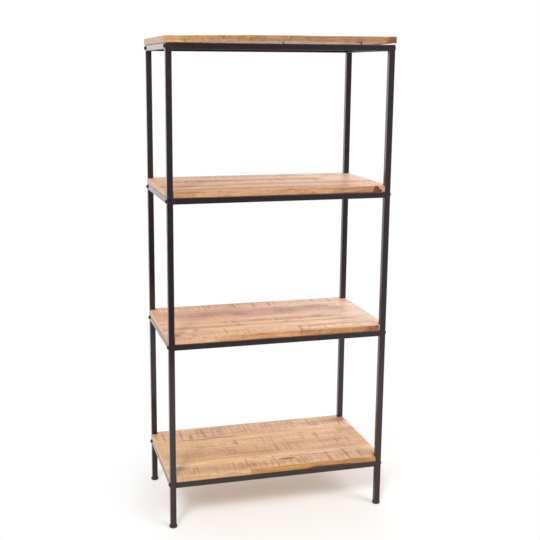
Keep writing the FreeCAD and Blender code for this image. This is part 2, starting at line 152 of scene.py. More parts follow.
def put_mesh(name, points, faces, material, body):
    """Makes a piece of the object from points and faces, and lets it ride on a body."""
    mesh = bpy.data.meshes.new(name)
    mesh.from_pydata([tuple(p) for p in points], [], faces)
    mesh.validate()
    for polygon in mesh.polygons:
        polygon.use_smooth = True
    mesh.materials.append(material)
    piece = bpy.data.objects.new(name, mesh)
    bpy.context.scene.collection.objects.link(piece)
    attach(piece, body)
    return piece


def bead(points, faces, route, phase):
    """Adds a rippled round bead along a route of points to the lists of points and faces.

    The phase lets the ripples of each bead start elsewhere."""
    first = len(points)
    length = 0.0
    for k, here in enumerate(route):
        ahead = route[min(k + 1, len(route) - 1)]
        behind = route[max(k - 1, 0)]
        along = (ahead - behind).normalized()
        length += (here - behind).length
        end = BEAD_END if k in (0, len(route) - 1) else 1.0
        radius = BEAD * end * (1 + RIPPLE * math.sin(2 * math.pi * length / RIPPLE_PITCH + phase))
        across = Vector((0, 1, 0))
        upward = along.cross(across)
        for s in range(BEAD_SIDES):
            angle = 2 * math.pi * s / BEAD_SIDES
            points.append(here + radius * (math.cos(angle) * across + math.sin(angle) * upward))
    for k in range(len(route) - 1):
        here = first + k * BEAD_SIDES
        for s in range(BEAD_SIDES):
            a, b = here + s, here + (s + 1) % BEAD_SIDES
            faces.append((a, b, b + BEAD_SIDES, a + BEAD_SIDES))
    faces.append(tuple(first + s for s in reversed(range(BEAD_SIDES))))
    last = first + (len(route) - 1) * BEAD_SIDES
    faces.append(tuple(last + s for s in range(BEAD_SIDES)))


for side, inward in (("left", 1), ("right", -1)):
    points, faces = [], []
    for tier in TIERS:
        low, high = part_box(f"{tier}_{side}_side_rail")
        inner = high.x if inward > 0 else low.x
        straight = high.z - low.z - BELOW_TOP - BEND
        for y in (low.y, high.y):
            down = [Vector((inner, y, high.z - BELOW_TOP - t * straight / BEAD_STEPS))
                    for t in range(BEAD_STEPS + 1)]
            turn = [Vector((inner - inward * BEND * (1 - math.cos(a)), y,
                            low.z + BEND * (1 - math.sin(a)))) for a in BEND_ANGLES]
            across = [Vector((inner - inward * (BEND + t * UNDERNEATH / BEAD_STEPS), y, low.z))
                      for t in range(BEAD_STEPS + 1)]
            bead(points, faces, down + turn + across, phase=y * 1000 + low.z * 7)
    put_mesh(f"{side}_ladder_weld_beads", points, faces, coat, "frame")

# A short crescent bead also shows on the face of the two upper front rails, at their left end.
# Half its length, how far it bows out, how deep it sits, and its distance from the rail's end.
CRESCENT, BOW, SUNK, FROM_END = 8 * MM, 2.6 * MM, 0.5 * MM, 1.6 * MM
CRESCENT_STEPS = 14
points, faces = [], []
for tier in ("upper", "top"):
    low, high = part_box(f"{tier}_front_rail")
    height = (low.z + high.z) / 2
    turns = [math.pi * (k / CRESCENT_STEPS - 0.5) for k in range(CRESCENT_STEPS + 1)]
    route = [Vector((low.x + FROM_END + BOW * math.cos(a), low.y + SUNK,
                     height + CRESCENT * math.sin(a))) for a in turns]
    bead(points, faces, route, phase=height * 900)
put_mesh("front_rail_crescent_beads", points, faces, coat, "frame")


# ---- Nut blocks and frame bolts ---------------------------------------------
# A threaded steel plug sits in each end of a long rail.  An M8 button-head bolt with a
# hexagon socket comes through the upright into it.


def patches(tree, shader, place, size, detail, colours, roughness):
    """Lets the colour and roughness of a finish vary together, in patches of about this size."""
    patch = add(tree, "TexNoise", {"Vector": place, "Scale": 1 / size, "Detail": detail}).outputs["Fac"]
    colour = add(tree, "Mix", {"Factor": patch, 6: linear(colours[0]), 7: linear(colours[1])},
                 data_type="RGBA")
    tree.links.new(colour.outputs[2], shader.inputs["Base Color"])
    rough = add(tree, "MapRange", {"Value": patch, "To Min": roughness[0], "To Max": roughness[1]})
    tree.links.new(rough.outputs[0], shader.inputs["Roughness"])


def fine_relief(tree, shader, place, size, detail, strength, depth):
    """Gives a finish a fine unevenness that the light catches."""
    dents = add(tree, "TexNoise", {"Vector": place, "Scale": 1 / size, "Detail": detail})
    bump = add(tree, "Bump", {"Height": dents.outputs["Fac"], "Strength": strength, "Distance": depth})
    tree.links.new(bump.outputs["Normal"], shader.inputs["Normal"])


# Black oxide on steel: a thin dark film.  It keeps a little of the metal's shine, over a
# fine grit and faint oily stains.
bolt_black, tree, shader, place = new_material("black_oxide_steel")
STAIN, GRIT, GRIT_DEPTH = 5 * MM, 0.7 * MM, 0.05 * MM
patches(tree, shader, place, STAIN, 4.0, ("#1E1B1C", "#33302F"), (0.26, 0.46))
fine_relief(tree, shader, place, GRIT, 3.0, 0.25, GRIT_DEPTH)
shader.inputs["Metallic"].default_value = 0.35

# Zinc plate on turned steel: a bright, slightly blue metal, with hazy patches and the tool's
# fine marks, which are drawn coarser than they are so that they show.
zinc, tree, shader, place = new_material("zinc_plated_turned_steel")
HAZE, TOOL_MARK, TOOL_DEPTH = 3 * MM, 0.5 * MM, 0.04 * MM
patches(tree, shader, place, HAZE, 4.0, ("#8E9194", "#B9BBBC"), (0.24, 0.42))
fine_relief(tree, shader, place, TOOL_MARK, 1.0, 0.2, TOOL_DEPTH)
shader.inputs["Metallic"].default_value = 1.0

for tier in TIERS:
    nodes[f"{tier}_frame_bolts"].material_slots[0].material = bolt_black
    nodes[f"{tier}_nut_blocks"].material_slots[0].material = zinc


# ---- Boards -----------------------------------------------------------------
# Four boards of solid mango wood, each edge-glued from four staves, sanded lightly so that
# saw marks stay, and oiled.  The lower three are notched round the uprights.

# The boards' sizes are in millimetres, from the middle of the board.
THICK, NOTCH = 21.0, 21.0
# The widest cells of the mesh along and across the board, and its lines beside a glue joint.
GRID_X, GRID_Y = 2.0, 6.0
JOINT_LINES = (-0.9, -0.3, 0.3, 0.9)
# The strip in which the rim is rounded, the usual radius of the rounding, and their steps.
RIM, EASE = 3.0, 1.5
RIM_STEPS, WALL_STEPS = 4, 9


def wander(along, seed, wave):
    """A smooth random line between about -1 and 1, with waves of about this length."""
    shorter, lower, usual_sum = 0.61, 0.72, 2.4
    rng = np.random.default_rng(seed)
    total = np.zeros_like(along, dtype=float)
    for octave in range(5):
        turn = rng.uniform(0, 2 * np.pi)
        total = total + np.sin(along * 2 * np.pi / (wave * shorter ** octave) + turn) * lower ** octave
    return total / usual_sum


def fade(distance, half, soft):
    """1 within half of the middle, falling smoothly to 0 over the distance soft."""
    t = np.clip((np.abs(distance) - half) / soft, 0, 1)
    return 1 - t * t * (3 - 2 * t)


def tint(colours, weight, hex_colour):
    """Mixes a colour over the board's colours, by a weight for each point."""
    weight = np.clip(weight, 0, 1)[:, None]
    return colours * (1 - weight) + np.array(linear(hex_colour)[:3]) * weight


def grid_lines(low, high, step, extra):
    """Places from low to high, at most a step apart, with the extra ones among them."""
    fixed = sorted({low, high, *[e for e in extra if low < e < high]})
    lines = []
    for a, b in zip(fixed, fixed[1:]):
        count = max(1, math.ceil((b - a) / step - 1e-6))
        lines += [a + (b - a) * k / count for k in range(count)]
    return np.array(lines + [high])


def board_grid(half_x, half_y, notch, extra_y):
    """The grid of a board's flat face, and the loop of points round it.

    Gives x and y of each point, the faces, the loop's points, their x and y, and the way out
    at each.  The loop lies one RIM inside the board's sides, which the rim then fills."""
    in_x, in_y = half_x - RIM, half_y - RIM
    cut_x, cut_y = in_x - notch, in_y - notch
    lines_x = grid_lines(-in_x, in_x, GRID_X, (-cut_x, cut_x) if notch else ())
    lines_y = grid_lines(-in_y, in_y, GRID_Y, extra_y + ([-cut_y, cut_y] if notch else []))
    columns, rows = len(lines_x), len(lines_y)
    middle_x = (lines_x[1:] + lines_x[:-1]) / 2
    middle_y = (lines_y[1:] + lines_y[:-1]) / 2
    solid = np.ones((columns - 1, rows - 1), bool)
    if notch:
        solid = ~((np.abs(middle_x)[:, None] > cut_x) & (np.abs(middle_y)[None, :] > cut_y))
    index = -np.ones((columns, rows), int)
    flat = []
    for i in range(columns):
        for j in range(rows):
            if solid[max(i - 1, 0):i + 1, max(j - 1, 0):j + 1].any():
                index[i, j] = len(flat)
                flat.append((lines_x[i], lines_y[j]))
    flat = np.array(flat)
    index = index.tolist()
    quads = [(index[i][j], index[i + 1][j], index[i + 1][j + 1], index[i][j + 1])
             for i in range(columns - 1) for j in range(rows - 1) if solid[i, j]]
    edges = {edge for quad in quads for edge in zip(quad, quad[1:] + quad[:1])}
    after = {a: b for a, b in edges if (b, a) not in edges}
    loop = [min(after)]
    while after[loop[-1]] != loop[0]:
        loop.append(after[loop[-1]])
    here = flat[loop]
    out = np.zeros_like(here)
    for step in (np.roll(here, -1, 0) - here, here - np.roll(here, 1, 0)):
        out += np.stack([np.sign(step[:, 1]), -np.sign(step[:, 0])], 1)
    return flat, quads, np.array(loop), here, np.sign(out)


def make_board(name, notch, lift, paint, material):
    """A board in the place of its CAD node, with a worn rim and its colours in its points."""
    low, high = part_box(name)
    middle = (low + high) / 2
    half_x, half_y = (high.x - low.x) / 2 / MM, (high.y - low.y) / 2 / MM
    flat, quads, loop, here, out = board_grid(half_x, half_y, notch, paint.fine_rows())
    count, ring = len(flat), len(loop)
    # The upper rim is worn unevenly, in long and short waves, and the lower one half as much.
    walk = np.cumsum(np.hypot(*(np.roll(here, -1, 0) - here).T))
    waves = 1.1 + 0.45 * wander(walk, 5, 140.0) + 0.25 * wander(walk, 6, 23.0)
    wear = np.clip(EASE * waves, 0.5, RIM)
    crisp = 0.45 * wear
    # How far out, how high, and how much of a side face, for each ring from the top down.
    turns = [math.pi / 2 * k / RIM_STEPS for k in range(RIM_STEPS + 1)]
    rings = [(RIM - wear * (1 - math.sin(a)), THICK - wear * (1 - math.cos(a)), a / turns[-1])
             for a in turns]
    rings += [(np.full(ring, RIM), THICK - wear + (wear + crisp - THICK) * k / WALL_STEPS, 1.0)
              for k in range(1, WALL_STEPS)]
    rings += [(RIM - crisp * (1 - math.sin(a)), crisp * (1 - math.cos(a)), a / turns[-1])
              for a in reversed(turns)]
    ring_places = [here + out * outward[:, None] for outward, _, _ in rings]
    ring_shares = [np.full(ring, share) for _, _, share in rings]
    xy = np.concatenate([flat] + ring_places + [flat])
    height = np.concatenate([np.full(count, THICK)] + [z for _, z, _ in rings] + [np.zeros(count)])
    side = np.concatenate([np.zeros(count)] + ring_shares + [np.zeros(count)])
    facing = np.concatenate([np.zeros((count, 2)), np.tile(out, (len(rings), 1)), np.zeros((count, 2))])
    under = count + len(rings) * ring
    loops = [loop] + [count + r * ring + np.arange(ring) for r in range(len(rings))] + [under + loop]
    faces = list(quads)
    for upper, lower in zip(loops, loops[1:]):
        for a in range(ring):
            b = (a + 1) % ring
            faces.append((int(upper[a]), int(lower[a]), int(lower[b]), int(upper[b])))
    faces += [tuple(under + v for v in reversed(quad)) for quad in quads]
    x, y = xy.T
    colours, relief, grain, sawn = paint(x, y, height, side, facing)
    z = height + relief * (height > THICK / 2) * (side < 0.5)
    if paint.chip:
        chip_x, chip_y, reach, depth = paint.chip
        z = np.minimum(z, THICK - depth * np.clip(1 - np.hypot(x - chip_x, y - chip_y) / reach, 0, 1))
    z = z + lift(x, y)
    points = np.stack([middle.x + x * MM, middle.y + y * MM, low.z + z * MM], 1)
    piece = put_mesh(f"{name}_wood", points, faces, material, "frame")
    tone = piece.data.attributes.new("tone", "FLOAT_COLOR", "POINT")
    tone.data.foreach_set("color", np.concatenate([colours, np.ones((len(points), 1))], 1).ravel())
    course = piece.data.attributes.new("grain", "FLOAT_VECTOR", "POINT")
    course.data.foreach_set("vector", (grain * MM).ravel())
    saw = piece.data.attributes.new("sawn", "FLOAT", "POINT")
    saw.data.foreach_set("value", sawn)
    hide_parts(name)


# About half a board's length, half a glue joint's width, the depth of the deepest saw mark, how
# far each stave's pith lies under it, and how far the grain runs for each radian of a ring.
HALF_LENGTH, JOINT_HALF, SAW_DEPTH = 380, 0.45, 0.22
PITH_BELOW, RING_COURSE = 34, 400


class Paint:
    """The look of one board, from lists of what shows in its wood, in millimetres.

    Each list's fields are named at the first board that has one."""

    def __init__(self, seed, painted_light_drift, staves, streaks, smudges, saw_rows, marks, edge, edge_spots, flecks,
                 wedges=(), painted_groove_shade=0.85, chip=None):
        self.seed = seed
        self.painted_light_drift = painted_light_drift
        self.staves = staves
        self.streaks = streaks
        self.smudges = smudges
        self.saw_rows = saw_rows
        self.marks = marks
        self.edge = edge
        self.edge_spots = edge_spots
        self.flecks = flecks
        self.wedges = wedges
        self.painted_groove_shade = painted_groove_shade
        self.chip = chip

    def fine_rows(self):
        """Places across the board where its points lie closer, at glue joints, knots and cracks."""
        rows = [stave[0] + d for stave in self.staves[1:] for d in JOINT_LINES]
        rows += [y + ry * k / 2 for _, y, _, ry, _, _ in self.smudges if ry < 13 for k in range(-3, 4)]
        rows += [y + half * k for _, _, y, half, _, _ in self.streaks if half < 3 for k in range(-2, 3)]
        return rows

    def face(self, x, y, upper, rng):
        """Colours and relief of the faces."""
        lows = [stave[0] for stave in self.staves]
        which = np.clip(np.searchsorted(lows, y, "right") - 1, 0, len(lows) - 1)
        colours = np.array([linear(stave[1])[:3] for stave in self.staves])[which]
        for joint in lows[1:]:
            colours = tint(colours, 0.4 * (np.abs(y - joint) < JOINT_HALF), "#8A5A3E")
        # Painted light: the left end is tinted golden and the right end paler, as the board's sheen
        # grows towards the right.
        golden, pale = self.painted_light_drift
        colours = tint(colours, golden * np.clip(0.35 - x / HALF_LENGTH, 0, 1), "#F4CE9C")
        colours = tint(colours, pale * np.clip(0.1 + x / HALF_LENGTH, 0, 1), "#FFEBDD")
        # A streak wanders across the board a little, and fades at its ends and sides.
        for x0, x1, row, half, shade, strength in self.streaks:
            bend = row + 0.3 * min(half, 9) * wander(x, int(abs(row)) + self.seed, 260.0)
            ends = fade(x - (x0 + x1) / 2, (x1 - x0) / 2 - 25, 50.0)
            colours = tint(colours, strength * ends * fade(y - bend, half * 0.4, half * 0.9), shade)
        for mx, my, rx, ry, shade, strength in self.smudges:
            reach = ((x - mx) / rx) ** 2 + ((y - my) / ry) ** 2
            colours = tint(colours, strength * np.exp(-reach ** 1.5), shade)
        # Saw marks come at uneven distances, each with its own length, width and strength.
        cuts = list(self.marks)
        for x0, x1, y0, y1, pitch, strength in self.saw_rows:
            spot = x0
            while spot < x1:
                spot += pitch * rng.uniform(0.35, 1.75)
                length = (y1 - y0) * rng.uniform(0.35, 1.0)
                start = rng.uniform(y0, y1 - length)
                cuts.append((spot, start, start + length, rng.uniform(1.5, 3.2),
                             strength * rng.uniform(0.3, 1.0)))
        relief = np.zeros_like(x)
        for mx, y0, y1, width, strength in cuts:
            lean = rng.uniform(-0.035, 0.035)
            across = np.exp(-(((x - mx - lean * (y - y0)) / width) ** 2))
            weight = across * fade(y - (y0 + y1) / 2, (y1 - y0) * 0.36, (y1 - y0) * 0.22 + 3) * upper
            colours = tint(colours, 0.95 * strength * weight, "#A0623A")
            relief -= SAW_DEPTH * strength * weight
        # The undersides get no oil and stay paler, and the pale tint is also painted light for the
        # bounce light that reaches them from below.
        underside = tint(colours, np.full(len(x), 0.4), "#EBD8C0")
        return np.where(upper[:, None] > 0, colours, underside), relief, which

    def walls(self, x, height, facing, rng):
        """Colours of the side faces."""
        places = [point[0] for point in self.edge]
        shades = np.array([linear(point[1])[:3] for point in self.edge])
        front = np.stack([np.interp(x, places, shades[:, band]) for band in range(3)], 1)
        x0, x1, number, strength = self.flecks
        spots = list(self.edge_spots)
        for _ in range(number):
            spots.append((rng.uniform(x0, x1), rng.uniform(2, THICK - 2), rng.uniform(1.5, 4.5),
                          rng.uniform(2.0, 6.5), rng.uniform(-0.5, 0.5), "#86633A",
                          strength * rng.uniform(0.3, 1)))
        for mx, mz, rx, rz, lean, shade, amount in spots:
            reach = ((x - mx - lean * (height - mz)) / rx) ** 2 + ((height - mz) / rz) ** 2
            front = tint(front, amount * np.exp(-reach ** 2), shade)
        rise = height / THICK
        for low_x0, low_x1, high_x0, high_x1, shade, amount in self.wedges:
            after = x > low_x0 + (high_x0 - low_x0) * rise
            before = x < low_x1 + (high_x1 - low_x1) * rise
            front = tint(front, amount * (after & before), shade)
        # The back and the ends take the rear stave's colour, the back darker and the ends lighter; the
        # lighter ends are painted light, for the lamps that they face.
        others = np.array(linear(self.staves[-1][1])[:3]) * np.where(facing[:, 1:] > 0.5, 0.9, 1.15)
        every = np.where(facing[:, 1:] < -0.5, front, others)
        # Painted shade darkens the groove between the board and its rails.
        return tint(every, self.painted_groove_shade * fade(height, 1.0, 1.6), "#3A2822")

    def __call__(self, x, y, height, side, facing):
        """Colours, relief, place in the grain and strength of the fine saw lines, for each point."""
        rng = np.random.default_rng(self.seed)
        shifts = rng.uniform(-900, 900, len(self.staves))
        piths = rng.uniform(-60, 60, len(self.staves))
        colours, relief, which = self.face(x, y, (height > THICK / 2).astype(float), rng)
        shifted = x + shifts[which]
        grain = np.stack([shifted, y + 6 * wander(shifted, self.seed, 420.0), height], 1)
        # On the end faces the grain runs in growth rings about the stave's pith.
        around = np.hypot(y - piths[which], height + PITH_BELOW)
        angle = np.arctan2(y - piths[which], height + PITH_BELOW)
        ends = (np.abs(facing[:, 0]) > 0.5) & (side > 0.6)
        rings = np.stack([angle * RING_COURSE, around, around * 0], 1)
        grain = np.where(ends[:, None], rings, grain)
        share = np.clip(side * 1.3 - 0.1, 0, 1)[:, None]
        colours = colours * (1 - share) + self.walls(x, height, facing, rng) * share
        # The front and back keep faint saw lines, and the sawn parts of the faces clear ones.
        sawn = 0.3 * (side > 0.5) * (~ends)
        for x0, x1, y0, y1, pitch, strength in self.saw_rows:
            along = fade(x - (x0 + x1) / 2, (x1 - x0) / 2 - 10, 30.0)
            inside = along * fade(y - (y0 + y1) / 2, (y1 - y0) / 2 - 6, 14.0)
            sawn = np.maximum(sawn, inside * min(1.0, 7 * strength / pitch) * (side < 0.5))
        return colours, relief, grain, sawn.astype(np.float32)


# Oiled mango wood: golden brown with greyer and pinker streaks, short dark pores along the
# grain and fine saw lines across it.  The oil gives a satin sheen, duller in the saw marks.
wood, tree, shader, place = new_material("oiled_mango_wood")
tone = add(tree, "Attribute", attribute_name="tone").outputs["Color"]
course = add(tree, "Attribute", attribute_name="grain").outputs["Vector"]
sawn = add(tree, "Attribute", attribute_name="sawn").outputs["Fac"]
# Along the board, across it and through it.  Pores and saw lines are really 0.3 to 1 mm wide
# and are drawn as coarse as they need to be to show.
GRAIN_SIZES = {"streak": (150 * MM, 3.4 * MM, 3.4 * MM), "vein": (95 * MM, 9 * MM, 7 * MM),
               "figure": (260 * MM, 30 * MM, 14 * MM), "mottle": (16 * MM, 7 * MM, 7 * MM),
               "pore": (11 * MM, 1.5 * MM, 1.2 * MM), "saw": (5.2 * MM, 46 * MM, 46 * MM),
               "fine_saw": (2.4 * MM, 60 * MM, 60 * MM)}
WOOD_RELIEF = 0.2 * MM
sizes = {}
for label, size in GRAIN_SIZES.items():
    stretched = add(tree, "VectorMath", {0: course, 1: tuple(1 / s for s in size)}, operation="MULTIPLY")
    noise = add(tree, "TexNoise", {"Vector": stretched.outputs["Vector"], "Scale": 1.0, "Detail": 3.0})
    sizes[label] = noise.outputs["Fac"]
# What each pattern does to the tone: where its noise starts and ends, and the tint at each end.
TONES = (("streak", 0.34, 0.66, (0.80, 0.76, 0.71, 1), (1.10, 1.11, 1.12, 1)),
         ("vein", 0.52, 0.72, (1.02, 1.02, 1.02, 1), (0.80, 0.76, 0.70, 1)),
         ("figure", 0.36, 0.64, (0.92, 0.88, 0.82, 1), (1.06, 1.07, 1.09, 1)),
         ("mottle", 0.36, 0.64, (0.93, 0.92, 0.90, 1), (1.06, 1.07, 1.08, 1)))
colour = tone
for label, start, end, low_tint, high_tint in TONES:
    share = add(tree, "MapRange", {"Value": sizes[label], "From Min": start, "From Max": end})
    shade = add(tree, "Mix", {"Factor": share.outputs[0], 6: low_tint, 7: high_tint}, data_type="RGBA")
    colour = add(tree, "Mix", {"Factor": 1.0, 6: colour, 7: shade.outputs[2]}, data_type="RGBA",
                 blend_type="MULTIPLY").outputs[2]
pores = add(tree, "MapRange", {"Value": sizes["pore"], "From Min": 0.58, "From Max": 0.70})
wide_lines = add(tree, "MapRange", {"Value": sizes["saw"], "From Min": 0.56, "From Max": 0.66})
fine_lines = add(tree, "MapRange", {"Value": sizes["fine_saw"], "From Min": 0.52, "From Max": 0.68,
                                    "To Max": 0.7})
lines = add(tree, "Math", {0: wide_lines.outputs[0], 1: fine_lines.outputs[0]}, operation="MAXIMUM")
lines = add(tree, "Math", {0: lines.outputs[0], 1: sawn}, operation="MULTIPLY")
for share, strength, shade in ((pores, 0.42, "#96633F"), (lines, 0.66, "#A06A44")):
    part = add(tree, "Math", {0: share.outputs[0], 1: strength}, operation="MULTIPLY")
    colour = add(tree, "Mix", {"Factor": part.outputs[0], 6: colour, 7: linear(shade)},
                 data_type="RGBA").outputs[2]
tree.links.new(colour, shader.inputs["Base Color"])
rough = add(tree, "MapRange", {"Value": sizes["streak"], "To Min": 0.36, "To Max": 0.48})
rough = add(tree, "Math", {0: lines.outputs[0], 1: 0.15, 2: rough.outputs[0]}, operation="MULTIPLY_ADD")
tree.links.new(rough.outputs[0], shader.inputs["Roughness"])
shader.inputs["IOR"].default_value = 1.45
height = sizes["streak"]
for share, sunk in ((pores, -0.5), (lines, -1.0)):
    height = add(tree, "Math", {0: share.outputs[0], 1: sunk, 2: height},
                 operation="MULTIPLY_ADD").outputs[0]
relief = add(tree, "Bump", {"Height": height, "Strength": 0.4, "Distance": WOOD_RELIEF})
tree.links.new(relief.outputs["Normal"], shader.inputs["Normal"])


def level_board(x, y):
    """The lower three boards lie flat on their rails."""
    return np.zeros_like(x)


def wound_board(x, y):
    """The top board has wound: its front edge stands off the rail, most at the right corner."""
    along = np.array([-382, -335, -272, -209, -145, -80, -14, 53, 119, 187, 255, 325, 360, 382])
    rise = np.array([0.0, 0.3, 1.6, 2.5, 3.4, 4.0, 4.4, 4.5, 4.2, 4.1, 4.3, 4.6, 4.8, 4.9])
    return np.interp(x, along, rise) * np.clip((206 - y) / 412, 0, 1)


bottom_paint = Paint(
    seed=41,
    # painted light: how golden the left is, how pale the right
    painted_light_drift=(0.25, 0.14),
    # front y of each stave, colour
    # The rear stave is lighter, partly its own tone and partly painted light against the shade that the
    # board above casts on it.
    staves=((-204, "#DEB187"), (-97, "#D7A77B"), (-2, "#E2B58A"), (92, "#ECBE98")),
    # x from, x to, y, half height, colour, strength
    streaks=((-380, 60, -92, 7, "#D2AC6A", 0.7), (-380, 330, 73, 13, "#F0C390", 0.75),
             (-290, -70, 94, 7, "#A37C5C", 0.75), (-70, 130, 100, 6, "#B08A68", 0.6),
             (-380, 20, -48, 30, "#C08C62", 0.5), (-150, 20, -66, 7, "#AC7F50", 0.75),
             (-330, -100, -3, 4, "#B98660", 0.6), (-380, 380, -112, 12, "#F2C594", 0.6),
             (60, 262, -123, 2.4, "#F2CDA6", 0.9), (40, 262, -131, 2.6, "#8A5F48", 0.95),
             (-380, -60, -165, 30, "#C99A68", 0.45), (60, 380, -172, 26, "#EDBE9A", 0.5)),
    # x, y, half length, half width, colour, strength
    smudges=((-95, 34, 8, 24, "#A0705E", 0.8), (46, -148, 26, 7.5, "#6E3E3C", 1.0),
             (66, -144, 12, 4, "#7E5248", 0.7), (-335, -142, 26, 16, "#9C7E4C", 0.75),
             (325, 160, 60, 24, "#A57A5C", 0.65), (350, 58, 40, 20, "#B08A6E", 0.55),
             (352, 20, 24, 20, "#C79C7E", 0.5), (-245, 118, 9, 22, "#B07C58", 0.6),
             (240, 140, 30, 26, "#C2957A", 0.45), (-60, -113, 15, 6, "#B0805E", 0.8),
             (110, -20, 40, 12, "#CB9470", 0.5), (300, -55, 34, 26, "#F0C0A0", 0.5),
             (-120, -34, 12, 14, "#BA8058", 0.55), (352, -198, 10, 8, "#C68F4E", 0.8),
             (225, 70, 26, 8, "#EFC288", 0.6)),
    # x from, x to, y from, y to, spacing, strength
    saw_rows=((-375, 372, 100, 202, 9.0, 0.50), (-372, 366, -203, -140, 7.5, 0.62),
              (-360, 360, 6, 64, 15.0, 0.34), (-360, 360, -92, -8, 14.0, 0.34)),
    # x, y from, y to, width, strength
    marks=((-191, 96, 198, 3.0, 0.75), (-210, 110, 196, 2.2, 0.5), (-278, 98, 192, 2.8, 0.6),
           (-245, 100, 140, 4.0, 0.5), (-124, 104, 180, 2.6, 0.5), (-30, 95, 192, 2.2, 0.5),
           (10, 14, 60, 2.6, 0.6), (43, 16, 66, 2.8, 0.55), (160, 5, 76, 2.8, 0.55),
           (216, 4, 60, 4.0, 0.7), (-135, 16, 64, 2.6, 0.5), (-33, -50, 0, 2.6, 0.6),
           (-137, -62, -10, 2.4, 0.5), (39, -76, -16, 4.4, 0.8), (72, -74, -14, 2.0, 0.5),
           (85, -80, -12, 3.0, 0.65), (273, -50, -14, 2.6, 0.6), (315, -58, -8, 3.0, 0.65),
           (5, -204, -112, 2.2, 0.85), (-97, -204, -112, 2.4, 0.8), (-150, -204, -132, 2.4, 0.7),
           (100, -204, -132, 2.8, 0.75), (195, -204, -118, 3.0, 0.85), (266, -204, -112, 3.2, 1.0),
           (310, -204, -130, 2.8, 0.85), (-40, -190, -145, 3.0, 0.7), (-120, -186, -142, 3.0, 0.6)),
    # x, colour
    edge=((-358, "#DAB38A"), (-101.5, "#D8B088"), (-100.5, "#C4925E"), (-60, "#C8965A"), (50, "#C99654"),
          (150, "#BE8C54"), (300, "#B28654"), (358, "#BC9060")),
    # x, height, half length, half height, lean, colour, strength
    edge_spots=((146, 2.0, 42, 5.4, 0, "#43201A", 1.0), (215, 1.8, 58, 4.2, 0, "#3A1D18", 1.0),
                (355, 19, 10, 6, 0, "#9C6C45", 0.6), (20, 11, 60, 6, 0, "#C68A3E", 0.3),
                (-70, 15, 30, 5, 0, "#C28A62", 0.5)),
    # dark flecks on the front edge: x from, x to, number, strength
    flecks=(-90, 340, 26, 0.22),
    # a split-off corner: x, y, reach, depth
    chip=(359, -203, 19, 8.0))

lower_paint = Paint(
    seed=52,
    painted_light_drift=(0.15, 0.66),
    # The rear stave is lighter, partly its own tone and partly painted light against the shade that the
    # board above casts on it.
    staves=((-204, "#E9BB93"), (-104, "#E3B38B"), (12, "#E2B091"), (132, "#F0C19B")),
    streaks=((-380, 380, -122, 14, "#F2C8A0", 0.75), (-380, 300, -88, 9, "#C4936C", 0.6),
             (-380, -100, -92, 14, "#BC8A58", 0.5), (-200, 260, -44, 13, "#BC9470", 0.6),
             (-260, 330, -12, 13, "#EDBE9A", 0.6), (-300, 300, 66, 50, "#C0907A", 0.52),
             (-200, 260, 88, 22, "#B88A76", 0.38), (60, 330, -152, 10, "#D0A286", 0.5),
             (-380, 380, 160, 20, "#F3C7A0", 0.6), (-380, 380, -196, 6, "#D8A070", 0.5)),
    smudges=((-80, 56, 34, 24, "#8C6A62", 0.68), (88, 52, 46, 30, "#9A7862", 0.55),
             (212, 106, 56, 22, "#A27A6A", 0.48), (-190, 60, 60, 22, "#B47E6C", 0.38),
             (-272, -120, 11, 13, "#84605E", 0.68), (-322, -140, 9, 12, "#94706A", 0.52),
             (-342, -176, 8, 22, "#A07A68", 0.6), (-290, -180, 10, 20, "#A88068", 0.5),
             (186, -40, 20, 16, "#8E706A", 0.52), (-30, -42, 30, 12, "#9C8058", 0.6),
             (245, -146, 34, 14, "#C09A78", 0.5), (150, -156, 30, 14, "#B98A74", 0.55),
             (-190, -30, 26, 8, "#F0C48C", 0.6)),
    saw_rows=((-370, 340, 140, 202, 15.0, 0.55), (-350, 300, 14, 128, 10.0, 0.45),
              (-160, 120, -66, -28, 9.0, 0.50), (90, 340, -66, -28, 12.0, 0.40),
              (-360, 360, -202, -132, 11.0, 0.42)),
    marks=((-243, 150, 200, 2.6, 0.6), (-180, 145, 198, 3.0, 0.6), (-165, 150, 198, 3.2, 0.7),
           (-84, 140, 198, 2.6, 0.6), (-70, 136, 192, 4.2, 0.8), (4, 140, 196, 3.8, 0.7),
           (63, 136, 188, 3.6, 0.7), (185, 150, 200, 2.4, 0.5), (238, 160, 200, 3.6, 0.8),
           (300, 150, 196, 3.4, 0.6), (-122, -64, -34, 3.0, 0.9), (-110, -70, -40, 2.2, 0.7),
           (-114, -92, -72, 5.0, 0.7), (-178, -185, -120, 3.4, 0.55), (32, -60, -30, 3.2, 0.8),
           (84, -56, -30, 3.0, 0.6), (60, -90, -64, 6.0, 0.5), (80, -204, -145, 4.6, 0.8),
           (-103, -200, -132, 2.6, 0.55), (118, -176, -138, 3.6, 0.6), (290, -190, -130, 3.0, 0.5)),
    edge=((-358, "#E3B794"), (-240, "#E2B490"), (-190, "#DBA67C"), (-100, "#D3A06E"), (0, "#D69C6C"),
          (100, "#CC9666"), (190, "#D09864"), (255, "#BF945F"), (298, "#B98A5C"), (312, "#A9744F"),
          (323, "#965F44"), (336, "#9C6A4E"), (348, "#A87458"), (358, "#A87458")),
    edge_spots=((75, 16, 2.6, 11, 0, "#7C4A34", 0.9), (-60, 10, 24, 8, 0, "#D08A52", 0.5),
                (346, 15, 5, 9, 0.3, "#6A4034", 0.8), (225, 10, 40, 8, 0, "#C08A4A", 0.45)),
    flecks=(-220, 350, 44, 0.34))

